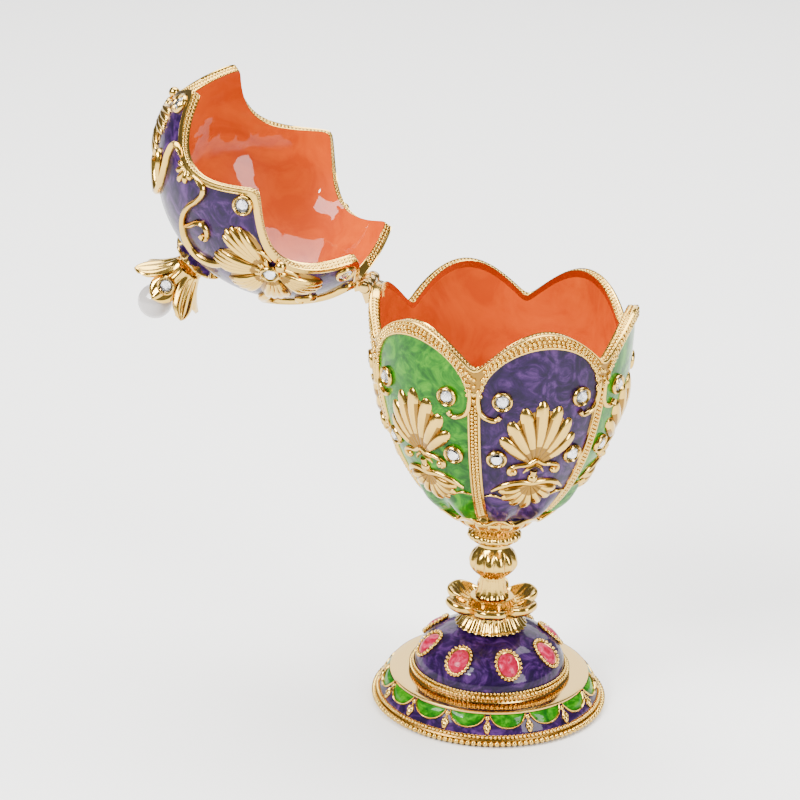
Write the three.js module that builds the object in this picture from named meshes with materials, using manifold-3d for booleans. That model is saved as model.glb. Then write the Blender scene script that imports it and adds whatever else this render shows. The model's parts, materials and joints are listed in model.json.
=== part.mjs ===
// Jewelled egg trinket box: an enamelled cast egg on a turned stem and a domed foot.
// Millimetres, +Z up. The origin is the centre of the foot's underside, the hinge is on the
// -X side, and the lid stands open on its stop.
import * as THREE from 'three';
import { mergeVertices } from 'three/addons/utils/BufferGeometryUtils.js';
import Module from 'manifold-3d';

const wasm = await Module();
wasm.setup();

// ---------- driving dimensions ----------
const GAP = 0.3;                 // air between two pieces that touch

// the egg, shared by cup and lid
const LOBES = 6;                 // arches round the rim, one every 60 degrees from +X
const WAIST_Z = 92;              // height at which the egg is widest
const EGG_RADIUS = 28.8;         // enamel face at the waist
const CUP_DEPTH = 47.4;          // waist to the cup's pole
const LID_RISE = 28;             // waist to the lid's pole
const WALL = 1.7;                // metal and enamel together
const RIM_VALLEY_Z = 88.9;       // lowest point of the scalloped rim
const RIM_CREST = 8.1;           // how far each arch rises above the valleys
const RIM_GAP = 0.4;             // air between the closed lid's rim and the cup's
const BAND_PROUD = 0.6;          // pebbled band above the enamel
const BAND_DEPTH = 3.3;          // band measured square to the rim
const STRIP_HALF = 1.35;         // half width of the upright strips between panels
const LID_BAND_DEPTH = 1.3;
const LID_BAND_PROUD = 0.45;

// panel ornament, measured across and up the panel from its centre line
const SHELL_BASE_Z = 68.2;
const FAN_BASE_Z = 61.6;
const RELIEF = 1.3;              // height of the ornament's ribs above the enamel
const ROOT = 0.6;                // how deep a raised ornament is sunk in the wall under it
const STONE_RADIUS = 1.55;
const STONE_HEIGHT = 0.9;
const BEZEL_RADIUS = 2.3;
const BEZEL_HEIGHT = 0.6;
const CUP_STONES = [[8.8, 82.1], [8.5, 68.2]];
const LID_FLOWER_Z = 101.4;
const LID_CUSP_STONE_Z = 93.4;

// frill and stem
const CUP_UNDERSIDE_Z = 46.7;
const FRILL_WAVES = 12;
const FRILL_RADIUS = 13.5;
const FRILL_WAVE = 0.8;
const STEM_FLUTES = 10;

// hinge
const HINGE_RADIUS = 30.45;      // hinge axis from the egg's axis
const HINGE_Z = 96.7;
const OPENING = THREE.MathUtils.degToRad(137.2);
const KNUCKLE_RADIUS = 1.6;
const BORE_RADIUS = 1.05;
const PIN_RADIUS = 0.75;
const LID_KNUCKLE_HALF = 1.75;   // half length of the middle knuckle
const CUP_KNUCKLE_LENGTH = 2;

// foot
const FOOT_RADIUS = 27.2;
const RING_Z = 6.9;              // flat polished ring
const RING_RADIUS = 22.9;
const DOME_RADIUS = 17.3;
const DOME_BASE_Z = 8.9;
const DOME_RISE = 9.6;
const COLLAR_Z = 18.4;
const OVALS = 8;
const OVAL_FIRST = THREE.MathUtils.degToRad(-62);
const OVAL_Z = 14.3;
const OVAL_ACROSS = 3.1;         // half width, the border of beads with it
const OVAL_TALL = 3.7;
const COLLAR_PETALS = 6;
const COLLAR_PETAL_FIRST = THREE.MathUtils.degToRad(-20);

// finial
const FINIAL_Z = 122;
const PEARL_Z = 137.4;
const PEARL_RADIUS = 4;
const FINIAL_PETALS = 6;
const FINIAL_GEM_TURN = THREE.MathUtils.degToRad(-84);   // the petal that holds the stone
const FINIAL_GEM_Z = 130.4;
const FINIAL_GEM_OUT = 5;        // face of that stone's bezel, from the axis

const TURN = Math.PI * 2;
const SECTOR = TURN / LOBES;

// ---------- helpers: closed meshes, joins and cuts ----------
function closedGeometry(points, triangles) {
  const loose = new THREE.BufferGeometry().setFromPoints(points);
  loose.setIndex(triangles);
  const merged = mergeVertices(loose, 1e-4);
  const old = merged.index.array;
  const kept = [];
  for (let i = 0; i < old.length; i += 3) {
    const [a, b, c] = [old[i], old[i + 1], old[i + 2]];
    if (a !== b && b !== c && c !== a) kept.push(a, b, c);
  }
  merged.setIndex(kept);
  return merged;
}

// rings of points, each counter-clockwise from above, that go up on an outer face;
// the first and the last ring close to a point
function ringedSolid(rings) {
  const n = rings[0].length;
  const triangles = [];
  for (let r = 0; r + 1 < rings.length; r++) {
    for (let i = 0; i < n; i++) {
      const a = r * n + i;
      const b = r * n + (i + 1) % n;
      triangles.push(a, b, b + n, a, b + n, a + n);
    }
  }
  return closedGeometry(rings.flat(), triangles);
}

const polar = (radius, angle, z) =>
  new THREE.Vector3(radius * Math.cos(angle), radius * Math.sin(angle), z);

// a turned body whose radius and height may wave round the axis
function turned(profile, columns, wave = (r, z) => [r, z]) {
  return ringedSolid(profile.map(([radius, height], station) =>
    Array.from({ length: columns }, (_, i) => {
      const angle = i * TURN / columns;
      const [r, z] = wave(radius, height, angle, station);
      return polar(r, angle, z);
    })));
}

// a closed slab: face(u, v, front) gives its front and back, u to the right and v up
function slab(nu, nv, face) {
  const points = [];
  const at = (i, j, front) => (front ? 0 : (nu + 1) * (nv + 1)) + j * (nu + 1) + i;
  for (const front of [true, false]) {
    for (let j = 0; j <= nv; j++) {
      for (let i = 0; i <= nu; i++) points.push(face(i / nu, j / nv, front));
    }
  }
  const triangles = [];
  const quad = (a, b, c, d) => triangles.push(a, b, c, a, c, d);
  for (let j = 0; j < nv; j++) {
    for (let i = 0; i < nu; i++) {
      quad(at(i, j, true), at(i + 1, j, true), at(i + 1, j + 1, true), at(i, j + 1, true));
      quad(at(i, j, false), at(i, j + 1, false), at(i + 1, j + 1, false), at(i + 1, j, false));
    }
  }
  for (let i = 0; i < nu; i++) {
    quad(at(i, 0, false), at(i + 1, 0, false), at(i + 1, 0, true), at(i, 0, true));
    quad(at(i + 1, nv, false), at(i, nv, false), at(i, nv, true), at(i + 1, nv, true));
  }
  for (let j = 0; j < nv; j++) {
    quad(at(0, j + 1, false), at(0, j, false), at(0, j, true), at(0, j + 1, true));
    quad(at(nu, j, false), at(nu, j + 1, false), at(nu, j + 1, true), at(nu, j, true));
  }
  return closedGeometry(points, triangles);
}

function toSolid(geometry) {
  let source = geometry;
  if (geometry.attributes.normal || geometry.attributes.uv) {
    source = geometry.clone();
    source.deleteAttribute('normal');
    source.deleteAttribute('uv');
    source = mergeVertices(source, 1e-4);
  }
  return new wasm.Manifold(new wasm.Mesh({
    numProp: 3,
    vertProperties: new Float32Array(source.attributes.position.array),
    triVerts: new Uint32Array(source.index.array),
  }));
}

function toGeometry(solid) {
  const mesh = solid.getMesh();
  const geometry = new THREE.BufferGeometry();
  geometry.setAttribute('position', new THREE.BufferAttribute(mesh.vertProperties, 3));
  geometry.setIndex(new THREE.BufferAttribute(mesh.triVerts, 1));
  return geometry;
}

const join = (first, ...others) =>
  toGeometry(others.reduce((sum, next) => sum.add(toSolid(next)), toSolid(first)));
const cut = (first, ...others) =>
  toGeometry(others.reduce((rest, next) => rest.subtract(toSolid(next)), toSolid(first)));

// ---------- the egg's surface ----------
function eggRadius(z) {
  if (z > WAIST_Z) return EGG_RADIUS * Math.sqrt(1 - ((z - WAIST_Z) / LID_RISE) ** 2);
  return EGG_RADIUS * (1 - ((WAIST_Z - z) / CUP_DEPTH) ** 2) ** 0.47;
}

function rimHeight(angle) {
  const soft = 0.1;              // rounds the foot of each valley
  const arch = Math.sqrt(Math.cos(angle * LOBES / 2) ** 2 + soft ** 2) - soft;
  return RIM_VALLEY_Z + RIM_CREST * arch / (Math.sqrt(1 + soft ** 2) - soft);
}

// lays an ornament on the egg: across and up are arc lengths from (angle, z), out is height
function eggSurface(angle, z) {
  const slope = (eggRadius(z + 0.5) - eggRadius(z - 0.5));
  const perUp = 1 / Math.hypot(1, slope);
  return (across, up, out) => {
    const height = z + up * perUp;
    const radius = eggRadius(height);
    const lean = eggRadius(height + 0.2) - eggRadius(height - 0.2);
    const tilt = Math.atan2(-lean, 0.4);
    return polar(radius + out * Math.cos(tilt), angle + across / radius,
      height + out * Math.sin(tilt));
  };
}

// a ribbed fan whose ribs spread from (0, 0), upward or, with flip -1, downward
function fan({ ribs, spread, reach, surface, flip = 1 }) {
  const columns = ribs * 2;
  return slab(columns, 2, (u, v, front) => {
    const crest = Math.round(u * columns) % 2 === 1;
    const angle = (u - 0.5) * spread;
    const far = reach(angle) * (crest ? 1 : 0.9);
    const along = far * v;
    const valley = crest ? 1 : 0.5;
    const height = front ? RELIEF * (v > 0 ? valley : 0.75) * (1 - 0.3 * v * v) : -ROOT;
    return surface(along * Math.sin(angle), flip * along * Math.cos(angle), height);
  });
}

// a raised strap along a line of points (across, up)
function strap(points, width, out, surface) {
  const line = new THREE.CatmullRomCurve3(points.map(([x, y]) => new THREE.Vector3(x, y, 0)));
  return slab(1, points.length - 1, (u, v, front) => {
    const p = line.getPoint(v);
    const t = line.getTangent(v);
    const side = (u - 0.5) * width * (front ? 0.6 : 1.2);
    return surface(p.x + t.y * side, p.y - t.x * side, front ? out : -ROOT);
  });
}

// a low round boss that carries a stone, and the stone itself
function disc(radius, low, high, sides, topRadius, surface) {
  const ring = (r, h) => Array.from({ length: sides }, (_, i) => {
    const a = i * TURN / sides;
    return surface(r * Math.cos(a), r * Math.sin(a), h);
  });
  return ringedSolid([ring(0, low), ring(radius, low), ring(topRadius, high), ring(0, high)]);
}

const bezel = (surface) =>
  disc(BEZEL_RADIUS, -ROOT, BEZEL_HEIGHT, 6, BEZEL_RADIUS - 0.3, surface);
const stone = (surface, seat = 0) => disc(STONE_RADIUS, seat + GAP,
  seat + GAP + STONE_HEIGHT, 6, STONE_RADIUS * 0.6, surface);

// ---------- egg cup ----------
function cupColumns(radius, strips) {
  const top = strips ? SECTOR / 2 - STRIP_HALF / radius : SECTOR * 0.42;
  const foot = strips ? SECTOR / 2 - (STRIP_HALF + 0.2) / radius : SECTOR * 0.34;
  const inner = [0.21, 0].map((part) => part * SECTOR);
  const half = [[SECTOR / 2, 1], [top, 1], [foot, 0], ...inner.map((a) => [a, 0])];
  const sector = [...half.map(([a, raised]) => [-a, raised]),
    ...half.slice(1, -1).reverse().map(([a, raised]) => [a, raised])];
  return Array.from({ length: LOBES }, (_, lobe) =>
    sector.map(([a, raised]) => [a + lobe * SECTOR, raised])).flat();
}

function cupShell() {
  const rings = [];
  const ring = (radius, strips, place) =>
    rings.push(cupColumns(radius, strips).map(([angle, raised]) => {
      const [r, z] = place(angle, raised);
      return polar(r, angle, z);
    }));
  const plain = (r, z) => ring(r, false, () => [r, z]);
  const wave = (angle) => -Math.cos(angle * FRILL_WAVES);
  plain(0, CUP_UNDERSIDE_Z);
  plain(9.3, CUP_UNDERSIDE_Z);
  ring(13, false, (a) => [FRILL_RADIUS - 0.7 + FRILL_WAVE * wave(a), 47 + 0.5 * wave(a)]);
  ring(13, false, (a) => [FRILL_RADIUS + FRILL_WAVE * wave(a), 47.9 + 0.5 * wave(a)]);
  ring(13, false, (a) => [FRILL_RADIUS - 0.5 + 0.3 * wave(a), 49.4]);
  for (const z of [51.6, 56, 63, 72, 81]) {
    ring(eggRadius(z), true, (a, raised) => [eggRadius(z) + raised * BAND_PROUD, z]);
  }
  const bandFoot = (a) => {
    const run = EGG_RADIUS * 0.01;
    const slope = (rimHeight(a + 0.01) - rimHeight(a)) / run;
    return rimHeight(a) - BAND_DEPTH * Math.hypot(1, slope);
  };
  const waist = (z) => eggRadius(Math.min(z, WAIST_Z));
  ring(EGG_RADIUS, true, (a, raised) =>
    [waist(bandFoot(a)) + raised * BAND_PROUD, bandFoot(a) - 0.15]);
  ring(EGG_RADIUS, true, (a) => [waist(bandFoot(a)) + BAND_PROUD, bandFoot(a)]);
  ring(EGG_RADIUS, true, (a) => [EGG_RADIUS + BAND_PROUD, rimHeight(a)]);
  ring(EGG_RADIUS, true, (a) => [EGG_RADIUS - WALL, rimHeight(a)]);
  for (const z of [80, 63, 51.6]) {
    const r = eggRadius(z) - WALL - Math.max(0, 60 - z) * 0.25;
    ring(r, false, () => [r, z]);
  }
  plain(0, 50.2);
  return ringedSolid(rings);
}

function panelOrnament(angle) {
  const shell = fan({
    ribs: 7, spread: 2.3, surface: eggSurface(angle, SHELL_BASE_Z),
    reach: (a) => 9.7 + 5.2 * Math.cos(1.45 * a) ** 2,
  });
  const lower = fan({
    ribs: 5, spread: -2.9, surface: eggSurface(angle, FAN_BASE_Z),
    reach: (a) => 7.4 + 1.6 * Math.cos(a) ** 2, flip: -1,
  });
  const neck = strap([[0, FAN_BASE_Z - SHELL_BASE_Z - 1], [0, 2]], 2, RELIEF,
    eggSurface(angle, SHELL_BASE_Z));
  return [shell, lower, neck];
}

function stoneSpots() {
  const spots = [];
  for (let lobe = 0; lobe < LOBES; lobe++) {
    for (const [across, z] of CUP_STONES) {
      for (const side of [-1, 1]) {
        spots.push(eggSurface(lobe * SECTOR + side * across / eggRadius(z), z));
      }
    }
  }
  return spots;
}

// ---------- hinge ----------
function alongY(radius, from, to, sides) {
  const rod = new THREE.CylinderGeometry(radius, radius, to - from, sides);
  rod.translate(0, (from + to) / 2, 0);
  rod.translate(-HINGE_RADIUS, 0, HINGE_Z);
  return rod;
}

function arm(angle, length, from, to) {
  const bar = new THREE.BoxGeometry(length, to - from, KNUCKLE_RADIUS * 1.3);
  bar.translate(length / 2, 0, 0);
  bar.rotateY(-angle);
  bar.translate(-HINGE_RADIUS, (from + to) / 2, HINGE_Z);
  return bar;
}

const SIDES = 12;
const cupKnuckleFrom = LID_KNUCKLE_HALF + GAP;
const cupKnuckleTo = cupKnuckleFrom + CUP_KNUCKLE_LENGTH;
const knuckleSpans = [[cupKnuckleFrom, cupKnuckleTo], [-cupKnuckleTo, -cupKnuckleFrom]];

function addCupKnuckles(cup) {
  const lugs = knuckleSpans.flatMap(([from, to]) =>
    [alongY(KNUCKLE_RADIUS, from, to, SIDES), arm(-1.2, 4, from, to)]);
  const clear = alongY(KNUCKLE_RADIUS + GAP + 0.1, -cupKnuckleFrom, cupKnuckleFrom, SIDES);
  const notched = cut(cup, clear);
  const bore = alongY(BORE_RADIUS, -cupKnuckleTo - 1, cupKnuckleTo + 1, SIDES);
  return cut(join(notched, ...lugs), bore);
}

function addLidKnuckle(lid) {
  const clears = knuckleSpans.map(([from, to]) =>
    alongY(KNUCKLE_RADIUS + GAP + 0.1, from - GAP, to + GAP + 0.5, SIDES));
  const notched = cut(lid, ...clears);
  const lug = [alongY(KNUCKLE_RADIUS, -LID_KNUCKLE_HALF, LID_KNUCKLE_HALF, SIDES),
    arm(1.05, 3.6, -LID_KNUCKLE_HALF, LID_KNUCKLE_HALF)];
  const bore = alongY(BORE_RADIUS, -cupKnuckleFrom, cupKnuckleFrom, SIDES);
  return cut(join(notched, ...lug), bore);
}

function hingePin() {
  const reach = cupKnuckleTo + GAP;
  return join(alongY(PIN_RADIUS, -reach - 0.4, reach + 0.4, SIDES),
    alongY(1.2, reach, reach + 0.6, SIDES), alongY(1.2, -reach - 0.6, -reach, SIDES));
}

// ---------- lid, in its closed place ----------
const lidRim = (angle) => rimHeight(angle) + RIM_GAP;

function lidShell() {
  const columns = 48;
  const rings = [];
  const ring = (place) => rings.push(Array.from({ length: columns }, (_, i) => {
    const angle = i * TURN / columns;
    const [r, z] = place(angle);
    return polar(r, angle, z);
  }));
  const outer = (z) => eggRadius(z);
  ring(() => [0, WAIST_Z + LID_RISE - WALL]);
  for (const z of [114.5, 104]) ring(() => [outer(z + 0.9) - WALL * 0.8, z]);
  ring((a) => [outer(lidRim(a)) - WALL, lidRim(a)]);
  ring((a) => [outer(lidRim(a)) + LID_BAND_PROUD, lidRim(a)]);
  ring((a) => [outer(lidRim(a) + LID_BAND_DEPTH) + LID_BAND_PROUD, lidRim(a) + LID_BAND_DEPTH]);
  ring((a) => [outer(lidRim(a) + LID_BAND_DEPTH), lidRim(a) + LID_BAND_DEPTH + 0.15]);
  for (const z of [103, 109.5, 114.8, 118.3]) ring(() => [outer(z), z]);
  ring(() => [0, WAIST_Z + LID_RISE]);
  return ringedSolid(rings);
}

function lidCollar() {
  const top = FINIAL_Z - GAP;
  const lip = [3, 4];            // stations of the ruffled edge
  const profile = [[0, 118.9], [4.6, 118.9], [4.4, 120.6], [6, 122.3], [5.6, 122.9], [2.6, top],
    [0, top]];
  return turned(profile, 16, (r, z, a, station) => {
    const wave = lip.includes(station) ? Math.cos(a * 8) : 0;
    return [r + 0.45 * wave, z - 0.3 * wave];
  });
}

function lidFlower(angle) {
  const surface = eggSurface(angle, LID_FLOWER_Z);
  const columns = 10;
  const petals = slab(columns, 2, (u, v, front) => {
    const spread = 3.5;
    const turn = (u - 0.5) * spread;
    const petal = Math.abs(Math.sin(u * Math.PI * 5));
    const far = (10.6 + 3.2 * Math.sin(turn) ** 2) * (0.8 + 0.2 * petal);
    const along = 2.7 + (far - 2.7) * v;
    const height = front ? RELIEF * (0.5 + 0.6 * petal) * (1 - 0.3 * v * v) : -ROOT;
    return surface(along * Math.sin(turn), along * Math.cos(turn), height);
  });
  const button = new THREE.SphereGeometry(1.2, 8, 6);
  button.translate(EGG_RADIUS + 0.75, 0, 98.6);
  button.rotateZ(angle);
  return [petals, button, bezel(surface)];
}

function lidScroll(angle, fromCrest) {
  const surface = eggSurface(angle, 100);
  return [-1, 1].flatMap((side) => {
    const strand = [[6.9, -1.6], [5.3, 4.4], [6.2, 11], [11, 12.8], [17.4, 8]];
    if (fromCrest) strand.unshift([1, -0.9]);
    return [strap(strand.map(([x, y]) => [x * side, y]), 1.5, RELIEF * 0.8, surface)];
  });
}

const FLOWER_LOBES = [0, 2, 4];
const SCROLL_LOBES = [1, 3, 5];
const HINGE_LOBE = 3;

// ---------- stem, flower collar and foot ----------
function stemBody() {
  const profile = [[0, 25.6], [3.3, 25.6], [3.3, 28.2], [3.9, 28.9], [3.2, 29.6], [3.1, 30.4],
    [4.2, 31.9], [4.9, 33.8], [4.5, 35.6], [3.5, 37.2], [3.2, 38], [4.4, 39], [5.4, 40.3],
    [4.8, 41.4], [6.2, 42.9], [8.8, 44.7], [9.7, 46.4], [0, 46.4]];
  return turned(profile, STEM_FLUTES * 2, (r, z, angle, station) => {
    const fluted = (station > 5 && station < 10) || (station > 12 && station < 16);
    const depth = fluted ? 0.22 : 0;
    return [r + depth * Math.cos(angle * STEM_FLUTES), z];
  });
}

function flowerCollar() {
  const profile = [[0, COLLAR_Z + GAP], [7.8, COLLAR_Z + GAP], [7.2, 20.2], [6.3, 21.6],
    [7, 22.6], [10.4, 23.6], [11.2, 24.3], [10.6, 24.8], [5.2, 23.2], [4.2, 25.2], [0, 25.2]];
  const petals = [5, 6, 7];      // stations of the open flower's lip
  return turned(profile, COLLAR_PETALS * 5, (r, z, angle, station) => {
    const swing = (angle - COLLAR_PETAL_FIRST) * COLLAR_PETALS / 2;
    const open = Math.abs(Math.cos(swing));
    if (!petals.includes(station)) return [r, z];
    return [r * (1 - 0.34 * (1 - open) ** 1.6), z + 1.2 * open ** 2];
  });
}

function footBody() {
  const dome = Array.from({ length: 4 }, (_, i) => {
    const t = (i + 1) / 5;
    const a = t * Math.PI / 2;
    return [DOME_RADIUS * Math.cos(a) ** 0.86, DOME_BASE_Z + DOME_RISE * Math.sin(a)];
  });
  return turned([[0, 0], [FOOT_RADIUS - 0.6, 0], [FOOT_RADIUS, 0.5], [FOOT_RADIUS, 1.8],
    [26.3, 2.6], [25.1, 2.7], [24.4, 4.4], [RING_RADIUS, 6.3], [RING_RADIUS, RING_Z],
    [18.3, RING_Z], [18.3, 8.3], [17.6, DOME_BASE_Z], ...dome.filter(([r]) => r > 8.6),
    [8.4, COLLAR_Z], [0, COLLAR_Z]], 36);
}

function domeOval(angle) {
  const at = (x, y, out) => {
    const rise = (OVAL_Z - DOME_BASE_Z + y * 0.8) / DOME_RISE;
    const a = Math.asin(Math.min(1, Math.max(0, rise)));
    const r = DOME_RADIUS * Math.cos(a) ** 0.86;
    return polar(r + out * 0.8, angle + x / r, DOME_BASE_Z + DOME_RISE * Math.sin(a) + out * 0.6);
  };
  const ring = (size, out) => Array.from({ length: 8 }, (_, i) => {
    const a = i * TURN / 8;
    return at(size * OVAL_ACROSS * Math.cos(a), size * OVAL_TALL * Math.sin(a), out);
  });
  return ringedSolid([ring(0, -0.8), ring(1, -0.8), ring(0.95, 0.6), ring(0, 0.75)]);
}

// ---------- finial ----------
function finialPetal(angle, length, width, flare) {
  const petal = slab(2, 3, (u, v, front) => {
    const side = (u - 0.5) * 2;
    const rise = length * (0.12 + 0.88 * v);
    const half = width * (0.35 + 0.65 * Math.sin(Math.PI * Math.min(1, 0.25 + 0.62 * v)));
    const taper = v > 0.9 ? 0.45 : 1;
    const out = 2.4 + flare * v ** 1.4 + 0.7 * (1 - side * side) + (front ? 0.4 : -0.4);
    return new THREE.Vector3(out, side * half * taper, 126 + rise);
  });
  petal.rotateZ(angle);
  return petal;
}

// a short rod square to the finial's axis, out through the petal that holds the stone
function outward(radius, from, to) {
  const rod = new THREE.CylinderGeometry(radius, radius, to - from, 8);
  rod.rotateZ(-Math.PI / 2);
  rod.translate((from + to) / 2, 0, FINIAL_GEM_Z);
  rod.rotateZ(FINIAL_GEM_TURN);
  return rod;
}

function finialBody() {
  const seat = PEARL_Z - PEARL_RADIUS - GAP;
  const neck = turned([[0, FINIAL_Z], [2.9, FINIAL_Z], [2.2, 123.6], [2.5, 125.4],
    [3.1, 127.4], [2.9, 130], [1.6, seat], [0, seat]], 12);
  const petals = Array.from({ length: FINIAL_PETALS }, (_, i) => (i === 0
    ? finialPetal(FINIAL_GEM_TURN, 8.8, 3, 3.1)
    : finialPetal(FINIAL_GEM_TURN + i * TURN / FINIAL_PETALS, 7.6, 3, 5.9)));
  return join(neck, ...petals, outward(BEZEL_RADIUS - 0.2, 3.4, FINIAL_GEM_OUT));
}

const finialStone = () => outward(STONE_RADIUS, FINIAL_GEM_OUT + GAP,
  FINIAL_GEM_OUT + GAP + STONE_HEIGHT);

// ---------- scene graph ----------
const finish = (color, roughness, metalness) =>
  new THREE.MeshStandardMaterial({ color, roughness, metalness });
const gold = () => finish(0xd9b866, 0.25, 1);
const purpleEnamel = () => finish(0x47208a, 0.15, 0.1);
const greenEnamel = () => finish(0x37b51b, 0.15, 0.1);
const clearGlass = () => finish(0xe8ecf2, 0.05, 0.2);
const pearlWhite = () => finish(0xe6e0de, 0.25, 0);

const jewelledEgg = new THREE.Group();
const openLid = new THREE.Group();

function place(group, name, geometry, material) {
  const mesh = new THREE.Mesh(geometry, material);
  mesh.name = name;
  group.add(mesh);
}

const cupSpots = stoneSpots();
const cupOrnaments = Array.from({ length: LOBES }, (_, i) => panelOrnament(i * SECTOR)).flat();
const cup = join(cupShell(), ...cupOrnaments);

const cuspSpots = Array.from({ length: LOBES }, (_, i) =>
  eggSurface((i + 0.5) * SECTOR, LID_CUSP_STONE_Z));
const lidOrnaments = [...FLOWER_LOBES.flatMap((lobe) => lidFlower(lobe * SECTOR)),
  ...SCROLL_LOBES.flatMap((lobe) => lidScroll(lobe * SECTOR, lobe !== HINGE_LOBE))];
const lid = join(lidShell(), lidCollar(), ...lidOrnaments);

place(jewelledEgg, 'foot', join(footBody(), ...Array.from({ length: OVALS }, (_, i) =>
  domeOval(OVAL_FIRST + i * TURN / OVALS))), purpleEnamel());
place(jewelledEgg, 'flower_collar', flowerCollar(), gold());
place(jewelledEgg, 'stem', stemBody(), gold());
place(jewelledEgg, 'egg_cup', addCupKnuckles(cup), greenEnamel());
place(jewelledEgg, 'hinge_pin', hingePin(), gold());
cupSpots.forEach((spot, i) =>
  place(jewelledEgg, `cup_stone_${i + 1}`, stone(spot), clearGlass()));

place(openLid, 'lid', addLidKnuckle(lid), purpleEnamel());
place(openLid, 'finial', finialBody(), gold());
place(openLid, 'pearl', new THREE.SphereGeometry(PEARL_RADIUS, 12, 8)
  .rotateX(Math.PI / 2).translate(0, 0, PEARL_Z), pearlWhite());
cuspSpots.forEach((spot, i) =>
  place(openLid, `lid_cusp_stone_${i + 1}`, stone(spot), clearGlass()));
FLOWER_LOBES.forEach((lobe, i) =>
  place(openLid, `lid_flower_stone_${i + 1}`, stone(eggSurface(lobe * SECTOR, LID_FLOWER_Z),
    BEZEL_HEIGHT), clearGlass()));
place(openLid, 'finial_stone', finialStone(), clearGlass());

// the lid swings about the hinge axis, which lies along Y
const swing = new THREE.Group();
openLid.position.set(HINGE_RADIUS, 0, -HINGE_Z);
swing.add(openLid);
swing.position.set(-HINGE_RADIUS, 0, HINGE_Z);
swing.rotation.y = -OPENING;
jewelledEgg.add(swing);

export default jewelledEgg;
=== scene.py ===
# %% [markdown]
# # A jewelled egg trinket box
# The real box is a cast and gilt metal egg on a turned stem and a domed foot. Its panels are
# filled with glossy enamel, its edges are granulated gold, and small clear stones sit in gold
# cups. The lid is hinged at the back and stands open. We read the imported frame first, because
# every size below hangs on it, and we work in millimetres, which suit a piece this small.

# %% Read the frame
import json
import math
import bpy
import numpy as np
from mathutils import Matrix, Vector


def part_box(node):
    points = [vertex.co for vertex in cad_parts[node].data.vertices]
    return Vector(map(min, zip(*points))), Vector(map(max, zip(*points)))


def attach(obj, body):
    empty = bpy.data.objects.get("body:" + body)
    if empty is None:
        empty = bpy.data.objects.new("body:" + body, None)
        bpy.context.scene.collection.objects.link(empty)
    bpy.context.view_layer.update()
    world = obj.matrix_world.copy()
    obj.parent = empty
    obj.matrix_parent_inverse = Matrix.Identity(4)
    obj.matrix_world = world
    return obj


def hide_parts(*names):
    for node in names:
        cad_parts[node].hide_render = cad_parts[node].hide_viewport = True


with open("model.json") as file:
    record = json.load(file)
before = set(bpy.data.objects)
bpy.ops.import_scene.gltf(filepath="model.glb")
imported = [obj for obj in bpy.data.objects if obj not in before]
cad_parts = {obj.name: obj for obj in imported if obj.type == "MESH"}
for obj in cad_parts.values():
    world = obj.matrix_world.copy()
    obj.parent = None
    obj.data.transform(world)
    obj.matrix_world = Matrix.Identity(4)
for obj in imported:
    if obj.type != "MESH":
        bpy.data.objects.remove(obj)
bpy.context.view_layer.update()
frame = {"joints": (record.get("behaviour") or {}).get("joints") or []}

MM = 0.001
for joint in frame["joints"]:
    print(joint["name"], "turns about", joint.get("pos_m"))

# %% [markdown]
# A few driving sizes describe the egg. The waist is where the cup and the lid meet; the cup's
# scalloped rim rises and falls six times round it. The egg's radius and the hinge's place come
# from the frame's own boxes, so that the looks stay on the solids.

# %% Driving sizes
def size_of(node):
    low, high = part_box(node)
    return [v / MM for v in low], [v / MM for v in high]


cup_high = size_of("egg_cup")[1]
pin_low, pin_high = size_of("hinge_pin")
pearl_low, pearl_high = size_of("pearl")

LOBES = 6
SECTOR = math.tau / LOBES
WAIST_Z = 92.0
CUP_DEPTH = 47.4
LID_RISE = 28.0
BAND_PROUD = 0.6
EGG_RADIUS = cup_high[0] - BAND_PROUD
WALL = 1.7
RIM_VALLEY_Z = 88.9
RIM_CREST = 8.1
RIM_GAP = 0.4
STRIP_HALF = 1.35
HINGE_Z = (pin_low[2] + pin_high[2]) / 2
HINGE_X = (pin_low[0] + pin_high[0]) / 2
OPENING = math.radians(137.2)
PEARL_Z = 137.4
PEARL_RADIUS = 3.98
print("egg radius", round(EGG_RADIUS, 2), "hinge at", round(HINGE_X, 2), round(HINGE_Z, 2))

# %% [markdown]
# The egg's outline is one curve for the cup and one for the lid. `on_egg` lays an ornament on
# it: we model the ornament flat, as a jeweller cuts it from sheet, and then press it onto the
# wall. Across and up are measured along the wall, and out is the height above it.

# %% The egg's surface
def egg_radius(z):
    if z > WAIST_Z:
        return EGG_RADIUS * math.sqrt(max(0.0, 1 - ((z - WAIST_Z) / LID_RISE) ** 2))
    return EGG_RADIUS * max(0.0, 1 - ((WAIST_Z - z) / CUP_DEPTH) ** 2) ** 0.47


def rim_height(angle):
    soft = 0.1
    arch = math.sqrt(math.cos(angle * LOBES / 2) ** 2 + soft ** 2) - soft
    return RIM_VALLEY_Z + RIM_CREST * arch / (math.sqrt(1 + soft ** 2) - soft)


def polar(radius, angle, z):
    return Vector((radius * math.cos(angle), radius * math.sin(angle), z))


def on_egg(angle, z):
    slope = egg_radius(z + 0.5) - egg_radius(z - 0.5)
    per_up = 1 / math.hypot(1, slope)

    def place(p):
        height = z + p.y * per_up
        radius = max(0.5, egg_radius(height))
        lean = egg_radius(height + 0.2) - egg_radius(height - 0.2)
        tilt = math.atan2(-lean, 0.4)
        return polar(radius + p.z * math.cos(tilt), angle + p.x / radius,
                     height + p.z * math.sin(tilt))
    return place


swing = Matrix.Translation((HINGE_X, 0, HINGE_Z))
open_lid = swing @ Matrix.Rotation(-OPENING, 4, "Y") @ swing.inverted()
print("pearl should stand at", [round((a + b) / 2, 1) for a, b in zip(pearl_low, pearl_high)],
      "and opens to", [round(c, 1) for c in open_lid @ Vector((0, 0, PEARL_Z))])

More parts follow.
